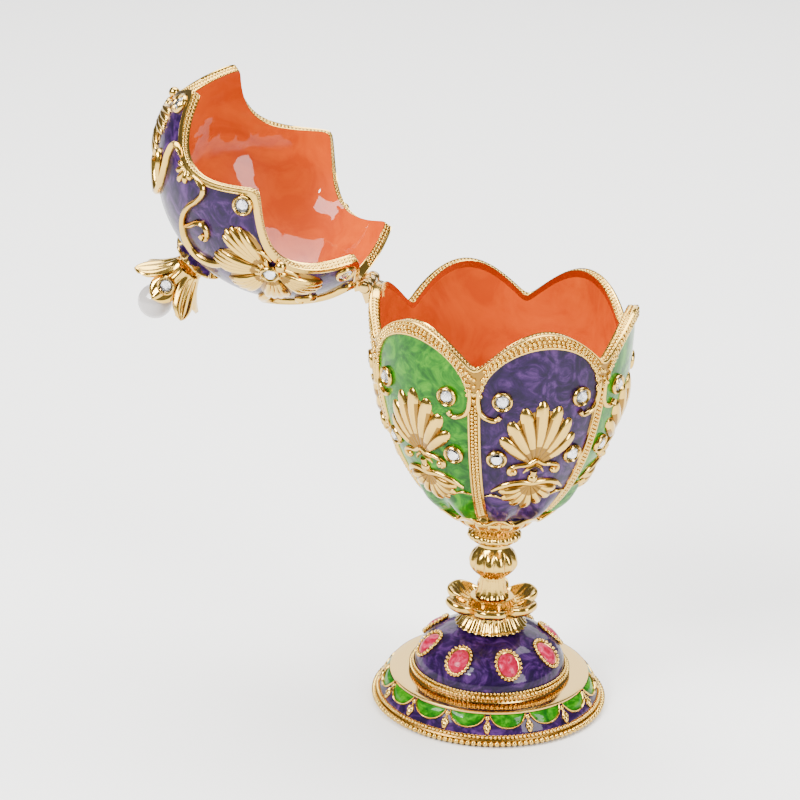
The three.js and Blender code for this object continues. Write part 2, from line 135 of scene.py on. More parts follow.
# %% [markdown]
# ## Workshop helpers
# Nearly every piece starts as one of four blanks. A grid is bent into a wall or a turned body. A
# ball is drawn out into a drop, which makes the ribs of a shell, petals and buds. A bezier wire
# becomes a scroll. A small half ball is the grain that is set by the hundred. `blank` clears the
# selection first each time, because an operator acts on all that is selected.

# %% Blanks
def deselect():
    if bpy.context.object and bpy.context.object.mode != "OBJECT":
        bpy.ops.object.mode_set(mode="OBJECT")
    bpy.ops.object.select_all(action="DESELECT")


def pick(obj):
    """The next operator acts on this object alone."""
    deselect()
    obj.select_set(True)
    bpy.context.view_layer.objects.active = obj


def blank(add, **sizes):
    """A new primitive, with nothing else selected."""
    deselect()
    add(**sizes)
    return bpy.context.object


def reshape(obj, rule):
    """Every vertex goes where the rule sends its x, y and z."""
    for v in obj.data.vertices:
        v.co = rule(*v.co)
    return obj


def bend(sheet, shape):
    return reshape(sheet, lambda u, v, z: shape(u, v))


def weld(obj, distance=0.0005):
    pick(obj)
    bpy.ops.object.mode_set(mode="EDIT")
    bpy.ops.mesh.select_all(action="SELECT")
    bpy.ops.mesh.remove_doubles(threshold=distance)
    bpy.ops.mesh.delete_loose()
    bpy.ops.mesh.select_all(action="SELECT")
    bpy.ops.mesh.normals_make_consistent(inside=False)
    bpy.ops.object.mode_set(mode="OBJECT")


def thickened(sheet, thickness, offset, distance):
    """A bent sheet gets a wall, and its doubled points are welded first."""
    wall = sheet.modifiers.new("wall", "SOLIDIFY")
    wall.thickness = thickness
    wall.offset = offset
    weld(sheet, distance)
    bpy.ops.object.modifier_apply(modifier="wall")
    return sheet


def grid(around, along):
    sheet = blank(bpy.ops.mesh.primitive_grid_add, x_subdivisions=around, y_subdivisions=along,
                  size=1)
    return reshape(sheet, lambda x, y, z: (x + 0.5, y + 0.5, 0))


def sphere(segments, rings, radius=1):
    return blank(bpy.ops.mesh.primitive_uv_sphere_add, segments=segments, ring_count=rings,
                 radius=radius)


def torus(radius, thick, sides, around):
    return blank(bpy.ops.mesh.primitive_torus_add, major_radius=radius, minor_radius=thick,
                 major_segments=sides, minor_segments=around)


def drop(length, width, height, root=0.25, segments=12, rings=10):
    """A ball drawn out from a narrow root to a blunt tip, flatter below than above."""
    def draw_out(x, depth, y):
        z = -depth
        t = (y + 1) / 2
        swell = root + (1 - root) * math.sin(min(1.0, t / 0.8) * math.pi / 2) ** 1.3
        blunt = math.sqrt(1 + max(0.0, y) ** 2)
        return (x * blunt * swell * width / 2, t * length, z * (height if z > 0 else 0.5) * swell)
    return reshape(sphere(segments, rings), draw_out)


def scroll(points, width, height, thin=(0.5, 0.5)):
    """A wire along a soft curve, thinned at both ends and pressed to its height."""
    wire = blank(bpy.ops.curve.primitive_bezier_curve_add, location=(0, 0, 0))
    knots = wire.data.splines[0].bezier_points
    knots.add(len(points) - 2)
    for knot, (x, y) in zip(knots, points):
        knot.co = (x, y, 0)
        knot.handle_left_type = knot.handle_right_type = "AUTO"
        knot.radius = 1.0
    knots[0].radius, knots[-1].radius = thin
    wire.data.resolution_u = 5
    wire.data.bevel_depth = width / 2
    wire.data.bevel_resolution = 2
    wire.data.use_fill_caps = True
    pick(wire)
    bpy.ops.object.convert(target="MESH")
    return reshape(bpy.context.object,
                   lambda x, y, z: (x, y, z * (height if z > 0 else 0.4) / (width / 2)))


def pair(points, width, height, thin=(0.5, 0.5)):
    """The same wire to the right and to the left."""
    return [scroll([(side * x, y) for x, y in points], width, height, thin) for side in (1, -1)]


def grain(radius, height):
    """A small ball cut off a third of the way below its middle."""
    seed = sphere(8, 6)
    bpy.ops.object.mode_set(mode="EDIT")
    bpy.ops.mesh.select_all(action="SELECT")
    bpy.ops.mesh.bisect(plane_co=(0, 0, -0.35), plane_no=(0, 0, 1), clear_inner=True,
                        use_fill=True)
    bpy.ops.object.mode_set(mode="OBJECT")
    return reshape(seed, lambda x, y, z: (x * radius, y * radius, z * height))


print("blanks ready: grid, drop, scroll, grain")

# %% [markdown]
# A modelled blank is pressed onto the egg with `lay`, and its copies are gathered into one
# piece with `gather`. `finished` scales a piece to metres, opens the lid's pieces to their
# place, and says which body carries it and which finish it takes.

# %% Pressing, gathering and finishing
def lay(obj, place):
    for v in obj.data.vertices:
        v.co = place(v.co)
    return obj


def turned_flat(obj, degrees):
    obj.data.transform(Matrix.Rotation(-math.radians(degrees), 4, "Z"))
    return obj


def moved(obj, *shift):
    obj.data.transform(Matrix.Translation(shift))
    return obj


def paint(obj, finishes, choose):
    """Every face takes the finish that `choose` picks for its centre."""
    for finish in finishes:
        obj.data.materials.append(finish)
    for face in obj.data.polygons:
        face.material_index = finishes.index(choose(face.center))


def paint_groove_shade(obj, level, reach=math.inf):
    """The faces below a level and short of a tip take the darker gilt: painted shade in a groove.
    """
    paint(obj, (gold, painted_shade_gilt), lambda at: painted_shade_gilt if at.z < level and at.y < reach else gold)


def gather(objects):
    """One piece from many; those without a finish take gold when others have theirs."""
    if any(obj.data.materials for obj in objects):
        for obj in objects:
            if not obj.data.materials:
                obj.data.materials.append(gold)
    pick(objects[0])
    for obj in objects[1:]:
        obj.select_set(True)
    if len(objects) > 1:
        bpy.ops.object.join()
    return objects[0]


def sow(seed, spots):
    """A copy of the seed at every spot; a spot is a matrix from the seed's own axes."""
    points = np.array([v.co[:] for v in seed.data.vertices])
    faces = [list(p.vertices) for p in seed.data.polygons]
    verts = []
    polygons = []
    for k, spot in enumerate(spots):
        m = np.array(spot)
        verts.extend((points @ m[:3, :3].T + m[:3, 3]).tolist())
        polygons.extend([[i + k * len(points) for i in face] for face in faces])
    mesh = bpy.data.meshes.new("sown")
    mesh.from_pydata(verts, [], polygons)
    mesh.validate()
    sown = bpy.data.objects.new("sown", mesh)
    bpy.context.collection.objects.link(sown)
    bpy.data.objects.remove(seed, do_unlink=True)
    return sown


def spot_at(place, across, up, out=0.0, size=1.0):
    """Where a seed stands on the egg, with its own up along the wall's outward direction."""
    here = place(Vector((across, up, out)))
    out_way = (place(Vector((across, up, out + 0.5))) - here).normalized()
    side = place(Vector((across + 0.3, up, out))) - here
    side = (side - out_way * side.dot(out_way)).normalized()
    rise = out_way.cross(side)
    m = Matrix((side, rise, out_way)).transposed().to_4x4()
    return Matrix.Translation(here) @ m @ Matrix.Scale(size, 4)


def finished(obj, name, body, slot, *finishes, smooth=60, opened=False):
    obj.name = name
    obj.data.name = name
    if opened:
        obj.data.transform(open_lid)
    obj.data.transform(Matrix.Scale(MM, 4))
    for finish in finishes:
        obj.data.materials.append(finish)
    pick(obj)
    if smooth:
        bpy.ops.object.shade_smooth_by_angle(angle=math.radians(smooth))
    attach(obj, body)
    print(name, len(obj.data.polygons), "faces")
    return obj


# %% [markdown]
# ## Finishes
# The metal is plated in pale yellow gold, which reflects almost like a mirror and is only
# slightly uneven from the casting. A darker gilt in the grooves and under the grains is painted
# shade.
# The enamel is a coloured glaze with cloudy streaks from the brush under a clear coat, so one
# recipe with other colours serves purple, green, orange and pink. The patterns read Object
# coordinates, so they stay on the piece when the lid swings.

# %% Gold
def plain(name, **sockets):
    finish = bpy.data.materials.new(name)
    finish.use_nodes = True
    shader = finish.node_tree.nodes["Principled BSDF"]
    for socket, value in sockets.items():
        shader.inputs[socket.replace("_", " ")].default_value = value
    return finish


def noise_on(finish, **sockets):
    nodes = finish.node_tree.nodes
    place = nodes.new("ShaderNodeTexCoord")
    noise = nodes.new("ShaderNodeTexNoise")
    for socket, value in sockets.items():
        noise.inputs[socket].default_value = value
    finish.node_tree.links.new(place.outputs["Object"], noise.inputs["Vector"])
    return noise


def uneven(finish, scale, detail, strength, distance, sockets=("Normal",)):
    """A slight bump, as a casting or a poured glaze has."""
    nodes, links = finish.node_tree.nodes, finish.node_tree.links
    noise = noise_on(finish, Scale=scale, Detail=detail)
    bump = nodes.new("ShaderNodeBump")
    bump.inputs["Strength"].default_value = strength
    bump.inputs["Distance"].default_value = distance
    links.new(noise.outputs["Fac"], bump.inputs["Height"])
    for socket in sockets:
        links.new(bump.outputs["Normal"], nodes["Principled BSDF"].inputs[socket])
    return finish


gold = uneven(plain("gilt_metal", Base_Color=(0.64, 0.41, 0.088, 1), Metallic=1.0,
                    Roughness=0.17), 900, 3, 0.30, 0.00012)
polished = uneven(plain("polished_gilt", Base_Color=(0.60, 0.39, 0.115, 1), Metallic=1.0,
                        Roughness=0.13), 260, 3, 0.12, 0.0001)
# painted shade: a dark gilt laid in the grooves and under the grains and beads
painted_shade_gilt = plain("gilt_with_painted_shade", Base_Color=(0.24, 0.13, 0.025, 1), Metallic=1.0, Roughness=0.3)


# %% Enamels
def enamel(name, deep, middle, light, scale=170, coat=0.6):
    finish = plain(name, Roughness=0.5, Specular_IOR_Level=0.06, Coat_Weight=coat,
                   Coat_Roughness=0.03, Coat_IOR=1.3)
    nodes, links = finish.node_tree.nodes, finish.node_tree.links
    cloud = noise_on(finish, Scale=scale, Detail=5, Roughness=0.62, Distortion=2.4)
    ramp = nodes.new("ShaderNodeValToRGB")
    shades = ramp.color_ramp.elements
    shades[0].position = 0.38
    shades[0].color = (*deep, 1)
    shades[1].position = 0.70
    shades[1].color = (*light, 1)
    shades.new(0.5).color = (*middle, 1)
    links.new(cloud.outputs["Fac"], ramp.inputs["Fac"])
    links.new(ramp.outputs["Color"], nodes["Principled BSDF"].inputs["Base Color"])
    return uneven(finish, 130, 2, 0.5, 0.0006, ("Normal", "Coat Normal"))


purple = enamel("purple_enamel", (0.005, 0.0006, 0.017), (0.014, 0.0022, 0.036),
                (0.064, 0.021, 0.112))
green = enamel("green_enamel", (0.001, 0.055, 0.0), (0.008, 0.12, 0.0), (0.055, 0.26, 0.0))
orange = enamel("orange_enamel", (0.44, 0.048, 0.0), (0.50, 0.062, 0.0), (0.56, 0.078, 0.0),
                scale=60, coat=1.0)
pink = enamel("pink_enamel", (0.26, 0.0, 0.018), (0.34, 0.006, 0.04), (0.55, 0.05, 0.11),
              scale=330)

# %% [markdown]
# The stones are clear cut glass over a bright foil. Plain values on the glass make it
# see-through, and a small silver cone under it throws the light back. The pearl is a bead with
# a soft sheen, almost white, with a thin clear coat.

# %% Stones and pearl
clear = plain("clear_glass", Base_Color=(1, 1, 1, 1), Roughness=0.0, IOR=1.62,
              Transmission_Weight=1.0)
foil = plain("silver_foil", Base_Color=(0.80, 0.80, 0.83, 1), Metallic=1.0, Roughness=0.06)
pearly = plain("pearl_skin", Base_Color=(0.40, 0.372, 0.36, 1), Roughness=0.25,
               Coat_Weight=0.6, Coat_Roughness=0.08)
print("finishes:", [m.name for m in (gold, polished, purple, green, orange, pink, clear, foil)])

# %% [markdown]
# ## The cup's wall
# The real cup is one casting: six sunk panels of enamel, gold strips between them and a gold
# band along the scalloped rim. A spun profile can't give it, because the rim, the arches of the
# panels and the wall all change at once, so a grid is bent: its columns follow the strips, and
# its rows run up the outside, over the rim and down the inside.

# %% Arches and strips
ARCH_FOOT_Z = 80.5
ARCH_RISE = 13.1
ARCH_HALF = 13.55
CUP_FOOT_Z = 49.4
LINE = 0.45
STEP = 0.12


def arch_top(across):
    return ARCH_FOOT_Z + ARCH_RISE * math.sqrt(max(0.0, 1 - (across / ARCH_HALF) ** 2))


def half_panel(z):
    return egg_radius(z) * SECTOR / 2 - STRIP_HALF


PANEL_COLUMNS = 30
STRIP_STOPS = [0.0, STEP / STRIP_HALF, LINE / STRIP_HALF, 0.46, 1.0]
STRIP_COLUMNS = len(STRIP_STOPS) - 1
LOBE_COLUMNS = PANEL_COLUMNS + 2 * STRIP_COLUMNS


def column(u):
    """u in 0..1 across one lobe: (share across the panel -1..1, share across the strip 0..1)"""
    k = u * LOBE_COLUMNS
    stops = range(STRIP_COLUMNS + 1)
    if k < STRIP_COLUMNS:
        return -1.0, float(np.interp(STRIP_COLUMNS - k, stops, STRIP_STOPS))
    if k > LOBE_COLUMNS - STRIP_COLUMNS:
        return 1.0, float(np.interp(k - (LOBE_COLUMNS - STRIP_COLUMNS), stops, STRIP_STOPS))
    return math.sin(((k - STRIP_COLUMNS) / PANEL_COLUMNS * 2 - 1) * math.pi / 2), 0.0


# %% Rows of the wall
PANEL_ROWS = 40
FRILL_WAVES = 12
FRILL = [(0, 0, 46.9, 0), (9.6, 0, 46.9, 0), (12.3, 0.8, 47.4, 0.5), (13.2, 1.05, 48.0, 0.9),
         (13.5, 1.1, 48.5, 0.9), (13.3, 1.0, 48.9, 0.6), (13.0, 0.9, 49.2, 0.3)]
BAND_STOPS = [0.0, 0.035, 0.14, 0.19, 0.45, 0.72, 0.86, 0.9, 0.96, 1.0]
BAND_LIFT = [0.0, 0.55, 0.6, 0.3, 0.25, 0.25, 0.3, 0.55, 0.6, 0.35]
STRIP_EDGE_LIFT = 0.5
FACE_STOPS = [(0.78, 0.04), (0.7, -0.2), (0.5, -0.3), (0.3, -0.3), (0.12, -0.2), (0.05, 0.0),
              (0.0, -0.1)]
INNER_ROWS = 26
INNER_FLOOR_Z = 51.6
FLAP_DEPTH = 1.7
FLAP_TOP_Z = 57.6


def flap(angle, z):
    """The wall swells into twelve soft flaps above the frill."""
    wave = (1 - math.cos(angle * FRILL_WAVES)) / 2
    return FLAP_DEPTH * wave * min(1.0, max(0.0, (FLAP_TOP_Z - z) / 5.5)) ** 0.8


def cup_place(u, row):
    """Angle, radius and height: the frill, the panel, the band, the rim's face, the inside."""
    lobe, share = divmod(u * LOBES, 1.0) if u < 1 else (LOBES - 1, 1.0)
    middle = lobe * SECTOR
    w, strip = column(share)
    side = 1 if w > 0 else -1

    def across(z):
        if strip:
            return side * (half_panel(z) + strip * STRIP_HALF)
        return w * half_panel(z)

    lift = STRIP_EDGE_LIFT if 0 < strip < 0.4 else 0.0
    foot = arch_top(w * ARCH_HALF * 0.985)
    if row < len(FRILL):
        angle = middle + across(CUP_FOOT_Z) / egg_radius(CUP_FOOT_Z)
        radius, sway, z, heave = FRILL[row]
        wave = -math.cos(angle * FRILL_WAVES)
        return angle, radius + sway * wave, z + heave * wave
    row -= len(FRILL)
    if row <= PANEL_ROWS:
        z = CUP_FOOT_Z + (foot - CUP_FOOT_Z) * row / PANEL_ROWS
        # the panel is a little fuller round the height of 74
        bulge = 0.25 * math.exp(-((across(z) / 9) ** 2) - ((z - 74) / 9) ** 2)
        angle = middle + across(z) / egg_radius(z)
        swell = flap(angle, z) + bulge
        return angle, egg_radius(z) + (max(lift, swell * 0.6) if strip else lift + swell), z
    angle = middle + across(min(foot, WAIST_Z)) / egg_radius(min(foot, WAIST_Z))
    top = rim_height(angle)
    row -= PANEL_ROWS
    if row < len(BAND_STOPS):
        z = foot + (top - foot) * BAND_STOPS[row]
        raised = max(BAND_LIFT[row], lift if row < 3 else 0)
        return angle, egg_radius(min(z, WAIST_Z)) + raised, z
    row -= len(BAND_STOPS)
    inner = EGG_RADIUS - WALL
    if row < len(FACE_STOPS):
        share, rise = FACE_STOPS[row]
        return angle, inner + (EGG_RADIUS + BAND_PROUD - inner) * share, top + rise - 0.05
    drop_share = (row - len(FACE_STOPS) + 1) / INNER_ROWS
    z = top + (INNER_FLOOR_Z - top) * drop_share
    # below the height of 60 the wall thickens towards the stem
    thick = WALL + max(0.0, 60 - z) * 0.25
    return angle, egg_radius(min(z, WAIST_Z)) - thick, z


# %% Bending the wall
ROWS = len(FRILL) + PANEL_ROWS + len(BAND_STOPS) + len(FACE_STOPS) + INNER_ROWS
cup_wall = grid(LOBES * LOBE_COLUMNS, ROWS)


def cup_finish(at):
    row = at.y * ROWS
    strip = column(at.x * LOBES % 1.0)[1]
    above_arch = row - len(FRILL) - PANEL_ROWS
    if row > ROWS - INNER_ROWS:
        return orange
    # painted shade: the band under the grain rows and the strips' middles take the dark gilt
    if 3 < above_arch < 6 or (strip > 0.5 and len(FRILL) < row and above_arch < 0):
        return painted_shade_gilt
    if row < len(FRILL) - 2 or above_arch > 0 or strip > 0:
        return gold
    return (green, purple)[int(at.x * LOBES) % 2]


def wall_shape(u, v):
    angle, radius, z = cup_place(round(u * LOBES * LOBE_COLUMNS) / (LOBES * LOBE_COLUMNS),
                                 min(round(v * ROWS), ROWS))
    if round(v * ROWS) == ROWS:
        return Vector((0, 0, INNER_FLOOR_Z - 1))
    return polar(radius, angle, z)


paint(cup_wall, (gold, green, purple, orange, painted_shade_gilt), cup_finish)
bend(cup_wall, wall_shape)
weld(cup_wall)
finished(cup_wall, "cup_wall", "base", "cup_enamel", smooth=35)
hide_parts("egg_cup")

# %% The frill's rolled lip
LIP_Z = 48.5


def lip_wave(x, y, z):
    angle = math.atan2(y, x)
    wave = -math.cos(angle * FRILL_WAVES)
    return polar(math.hypot(x, y) + wave, angle, z + LIP_Z + wave)


frill_lip = reshape(torus(13.6, 0.45, 192, 10), lip_wave)
finished(frill_lip, "frill_lip", "base", "gold", gold, smooth=180)

# %% [markdown]
# ## Grain on the band, the strips and the rim
# The gold edges are granulated: hundreds of small round grains stand in rows. One half ball is
# modelled, and `sow` sets a copy at every spot. The rows keep an even step along the arch, and
# a little chance in place and size makes the band's grains look set by hand.

# %% Even steps along a line
GRAIN = 0.46


def even_steps(line, step, samples=400):
    """Shares of a line, 0 to 1, that lie an even step apart along it."""
    shares = [i / samples for i in range(samples + 1)]
    points = [line(t) for t in shares]
    length = [0.0]
    for a, b in zip(points, points[1:]):
        length.append(length[-1] + (b - a).length)
    count = max(1, round(length[-1] / step))
    return [float(np.interp((k + 0.5) * length[-1] / count, length, shares))
            for k in range(count)]


def band_point(angle, share, lift=0.25):
    """A point on the gold band: share 0 at the panel's arch, 1 at the rim."""
    middle = round(angle / SECTOR) * SECTOR
    foot = arch_top((angle - middle) * EGG_RADIUS)
    z = foot + (rim_height(angle) - foot) * share
    return polar(egg_radius(min(z, WAIST_Z)) + lift, angle, z)


def upright(point, away, size=1.0):
    """A seed at a point, its up along the direction away."""
    turn_to = away.normalized().to_track_quat("Z", "Y").to_matrix().to_4x4()
    return Matrix.Translation(point) @ turn_to @ Matrix.Scale(size, 4)


def grained(spots, height, name, body="base", radius=GRAIN, opened=False):
    """A grain at every spot, joined into one gold piece."""
    sown = sow(grain(radius, height), spots)
    return finished(sown, name, body, "gold", gold, smooth=80, opened=opened)


# %% Sowing the band
def arch_angle(lobe, t):
    return lobe * SECTOR + (t - 0.5) * SECTOR * 0.93


chance = np.random.default_rng(5)
band_spots = []
for lobe in range(LOBES):
    for k, share in enumerate((0.28, 0.52, 0.76)):
        for t in even_steps(lambda t: band_point(arch_angle(lobe, t), share), 1.06):
            angle = arch_angle(lobe, t + chance.uniform(-0.003, 0.003) + k * 0.013)
            spot = band_point(angle, share + chance.uniform(-0.03, 0.03), 0.15)
            size = chance.uniform(1.0, 1.32)
            band_spots.append(upright(spot, Vector((spot.x, spot.y, 2.0)), size))
for valley in range(LOBES):
    angle = (valley + 0.5) * SECTOR
    for across, up in ((0, 81.9), (0, 83.2), (-0.9, 84.2), (0.9, 84.2), (0, 85.2), (-1.7, 85.4),
                       (1.7, 85.4), (0, 86.6)):
        band_spots.append(spot_at(on_egg(angle, up), across, 0, 0.25, size=1.1))
grained(band_spots, 0.56, "band_grain")

# %% Sowing the strips and the rim's face
STRIP_ROW = 0.38
STRIP_STAGGER = 0.23
RIM_GRAIN = 0.42
HINGE_CLEAR = 0.2


def strip_z(t):
    return 51.0 + 29.8 * t


strip_spots = []
for valley in range(LOBES):
    angle = (valley + 0.5) * SECTOR
    for side in (-1, 1):
        row = Vector((side * STRIP_ROW, 0, 0.1))
        for t in even_steps(lambda t: on_egg(angle, strip_z(t))(row), 0.92):
            place = on_egg(angle, strip_z(t) + side * STRIP_STAGGER)
            strip_spots.append(spot_at(place, side * STRIP_ROW, 0, 0.1))
grained(strip_spots, 0.55, "strip_grain")


def rim_spots(height, rows, down=False):
    """Spots in rings along the rim's face, with the hinge left clear."""
    spots = []
    for radius in rows:
        def line(t, radius=radius):
            angle = t * math.tau
            return polar(radius, angle, height(angle))
        for t in even_steps(line, 0.86, 1200):
            angle = t * math.tau
            if abs(angle - math.pi) < HINGE_CLEAR:
                continue
            slope = (height(angle + 0.01) - height(angle - 0.01)) / (0.02 * radius)
            away = polar(0, 0, 1) - polar(1, angle + math.pi / 2, 0) * slope
            spots.append(upright(line(t), -away if down else away))
    return spots


grained(rim_spots(lambda a: rim_height(a) - 0.34, (27.75, 28.6)), 0.26, "cup_rim_grain",
        radius=RIM_GRAIN)

# %% [markdown]
# ## Shells and fans on the panels
# Each panel carries a seven-ribbed shell over two small scrolls, a neck with a bead, and a fan
# that opens downward. A rib is a ball drawn out into a drop, narrow at its root and round at its
# tip. The outer ribs are shorter and leaner, as on a real shell, so one recipe with a length
# for each rib gives them all.

# %% One shell
SHELL_Z = 66.0
FAN_Z = 61.0
HOOK_Z = 80.6
LINE_Z = 57.6
SHELL_RIBS = [(0, 17.3, 3.7), (14, 16.2, 3.7), (29, 14.0, 3.7), (46, 11.6, 3.3)]
FAN_RIBS = [(0, 7.9, 2.8), (25, 7.4, 2.8), (49, 7.2, 2.8), (72, 6.9, 2.4)]


def ribs(recipe, height, opens=0):
    """Drops fanned out from one point, their low flanks painted dark as shade in the grooves."""
    made = []
    for degrees, length, width in recipe:
        for side in (1, -1) if degrees else (1,):
            rib = drop(length, width, height, root=0.2)
            reshape(rib, lambda x, y, z: (x, y, z * (1 - 0.25 * y / length)))
            paint_groove_shade(rib, height * 0.55, length * 0.8)
            made.append(turned_flat(turned_flat(rib, side * degrees), opens))
    return made


def shell_piece():
    plate = drop(15.2, 12.0, 0.5, root=0.12, segments=24)
    # painted shade: the plate under the ribs is dark, so the grooves between them look shaded
    paint_groove_shade(plate, 1)
    parts = ribs(SHELL_RIBS, 1.9) + [plate]
    parts += pair([(0, 2.0), (1.9, 0.8), (3.9, 0.5), (5.4, -0.5), (5.0, -1.7), (4.1, -1.3)],
                  1.15, 0.95, (1.1, 0.8))
    parts += pair([(0, 0.6), (1.5, -0.5), (2.2, -1.7)], 0.9, 0.8, (1, 0.4))
    parts += [moved(drop(1.7, 1.7, 1.1, root=0.9), side * 4.4, -2.2, 0) for side in (1, -1)]
    parts.append(moved(drop(2.2, 2.4, 1.3, root=0.9), 0, -4.4, 0))
    parts.append(scroll([(0, -1.0), (0, -2.6), (0, -5.0)], 1.5, 0.9, (1.2, 0.9)))
    return gather(parts)


def fan_piece():
    brow = [(0, 0.7), (3.0, 0.9), (5.8, 0.0), (8.0, -2.0)]
    return gather(ribs(FAN_RIBS, 1.7, opens=180) + pair(brow, 1.5, 0.9, (1.1, 0.5)))


def hook_piece():
    return gather(pair([(13.9, 3.6), (13.8, 0.8), (13.0, -1.6), (11.3, -2.8), (9.6, -2.9),
                        (8.9, -1.9)], 1.2, 1.0, (0.8, 1.15)))


def fine_lines():
    edge = half_panel(LINE_Z)
    lines = pair([(edge, 0.0), (edge - 2, 0.5), (5.6, -0.4)], 0.55, 0.45)
    return moved(gather(lines), 0, 0, 0.15)


# %% Ornaments on all six panels
ornaments = []
for lobe in range(LOBES):
    for piece, z in ((shell_piece, SHELL_Z), (fan_piece, FAN_Z), (hook_piece, HOOK_Z),
                     (fine_lines, LINE_Z)):
        ornaments.append(lay(piece(), on_egg(lobe * SECTOR, z)))
finished(gather(ornaments), "cup_ornament", "base", "gold", smooth=70)

# %% [markdown]
# ## Stones in their cups
# A rhinestone has a flat table, a ring of slanted facets and a foil-backed point below. The cup
# that holds it is a plain round wall. Each stone replaces the solid that marks its place.

# %% One cut stone
STONE_RADIUS = 1.58
CROWN = 0.62
FOIL_DEPTH = 0.5
BEZEL_RADIUS = 2.3
BEZEL_WALL = 0.4


def cut_stone():
    """Sixteen facets whose upper corners stand half a facet on from the lower ones."""
    crown = blank(bpy.ops.mesh.primitive_cone_add, vertices=16, radius1=STONE_RADIUS,
                  radius2=STONE_RADIUS * 0.52, depth=CROWN, end_fill_type="TRIFAN")
    for v in crown.data.vertices:
        r = math.hypot(v.co.x, v.co.y)
        if v.co.z > 0 and r > 0.1:
            v.co = polar(r, math.atan2(v.co.y, v.co.x) + math.tau / 32, v.co.z)
    return moved(crown, 0, 0, CROWN * 1.5)


def foil_point():
    point = blank(bpy.ops.mesh.primitive_cone_add, vertices=10, radius1=0.05,
                  radius2=STONE_RADIUS * 0.95, depth=FOIL_DEPTH, end_fill_type="NOTHING")
    moved(point, 0, 0, FOIL_DEPTH / 2 + 0.12)
    bpy.ops.object.mode_set(mode="EDIT")
    bpy.ops.mesh.select_all(action="SELECT")
    bpy.ops.mesh.fill_holes(sides=0)
    bpy.ops.object.mode_set(mode="OBJECT")
    return point


def ring_piece(radius, thick, height, sides=28):
    ring = torus(radius, thick, sides, 8)
    return reshape(ring, lambda x, y, z: (x, y, z * (height / thick)))


def setting():
    wall = moved(ring_piece(BEZEL_RADIUS - BEZEL_WALL, BEZEL_WALL, 0.7), 0, 0, 0.35)
    floor = blank(bpy.ops.mesh.primitive_cylinder_add, vertices=28, radius=BEZEL_RADIUS - 0.35,
                  depth=0.4)
    return gather([wall, moved(floor, 0, 0, -0.1)])


def set_stones(places, base_name, nodes, body, sink=0.0, opened=False):
    """Cups, foils and cut stones at every place; the stones stand for the named solids."""
    spots = [spot_at(place, 0, 0, sink) for place in places]

    def set_part(part, seed, slot, finish, smooth=0):
        return finished(sow(seed, spots), base_name + "_" + part, body, slot, finish,
                        smooth=smooth, opened=opened)
    set_part("cups", setting(), "gold", gold, smooth=50)
    set_part("foils", foil_point(), "rhinestone", foil)
    stones = set_part("stones", cut_stone(), "rhinestone", clear)
    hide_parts(*nodes)


CUP_STONES = [(8.8, 82.1), (8.5, 68.2)]
cup_places = [on_egg(lobe * SECTOR + side * across / egg_radius(z), z) for lobe in range(LOBES)
              for across, z in CUP_STONES for side in (-1, 1)]
set_stones(cup_places, "cup", [f"cup_stone_{k + 1}" for k in range(24)], "base")

# %% [markdown]
# ## The hinge
# Three short tubes turn on one pin: the outer two are cast with the cup and the middle one with
# the lid. They are cylinders with a softened edge, on short arms that reach back to the walls.

# %% Knuckles and pin
KNUCKLE = 1.6


def knuckle(start, end, radius=KNUCKLE):
    tube = blank(bpy.ops.mesh.primitive_cylinder_add, vertices=32, radius=radius,
                 depth=end - start)
    tube.data.transform(Matrix.Translation((HINGE_X, (start + end) / 2, HINGE_Z))
                        @ Matrix.Rotation(math.pi / 2, 4, "X"))
    round_off = tube.modifiers.new("edge", "BEVEL")
    round_off.width = 0.22
    round_off.segments = 2
    round_off.limit_method = "ANGLE"
    bpy.ops.object.modifier_apply(modifier="edge")
    return tube


def lug(start, end, lean, length):
    bar = blank(bpy.ops.mesh.primitive_cube_add, size=1)
    bar.data.transform(Matrix.Translation((HINGE_X, (start + end) / 2, HINGE_Z))
                       @ Matrix.Rotation(-lean, 4, "Y")
                       @ Matrix.Translation((length / 2, 0, 0))
                       @ Matrix.Diagonal((length, end - start, KNUCKLE * 1.3, 1)))
    return bar


cup_spans = [(2.05, 4.05), (-4.05, -2.05)]
cup_hinge = gather([piece for a, b in cup_spans
                    for piece in (knuckle(a, b), lug(a, b, -1.2, 3.6))])
finished(cup_hinge, "cup_knuckles", "base", "gold", polished, smooth=40)
lid_hinge = gather([knuckle(-1.75, 1.75), lug(-1.75, 1.75, 1.05, 3.2)])
finished(lid_hinge, "lid_knuckle", "lid", "gold", polished, smooth=40, opened=True)
pin = gather([knuckle(-4.7, -4.05, 1.15), knuckle(4.05, 4.7, 1.15), knuckle(-4.3, 4.3, 0.75)])
finished(pin, "hinge_pin_rod", "base", "gold", polished, smooth=40)
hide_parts("hinge_pin")

# %% [markdown]
# ## Turned work: stem, collar and foot
# `turned` bends a grid round a profile. The profile is a smooth curve through a few heights and
# radii, and `wave` may flute it. The stem has a ribbed baluster, a beaded ring and a fluted
# calyx under the cup; the collar is a fluted bell that opens into six broad petals.

# %% A turned body
def smooth_profile(stops, steps):
    """Points along a soft curve through (radius, height) stops, with the stop's number."""
    ends = [stops[0], *stops, stops[-1]]
    out = []
    for k in range(len(stops) - 1):
        for j in range(steps):
            t = j / steps
            radius, z = (0.5 * (2 * b + (c - a) * t + (2 * a - 5 * b + 4 * c - d) * t ** 2
                                + (3 * b - a - 3 * c + d) * t ** 3)
                         for a, b, c, d in zip(*ends[k:k + 4]))
            out.append((max(0.0, radius), z, k + t))
    return out + [(*stops[-1], len(stops) - 1)]


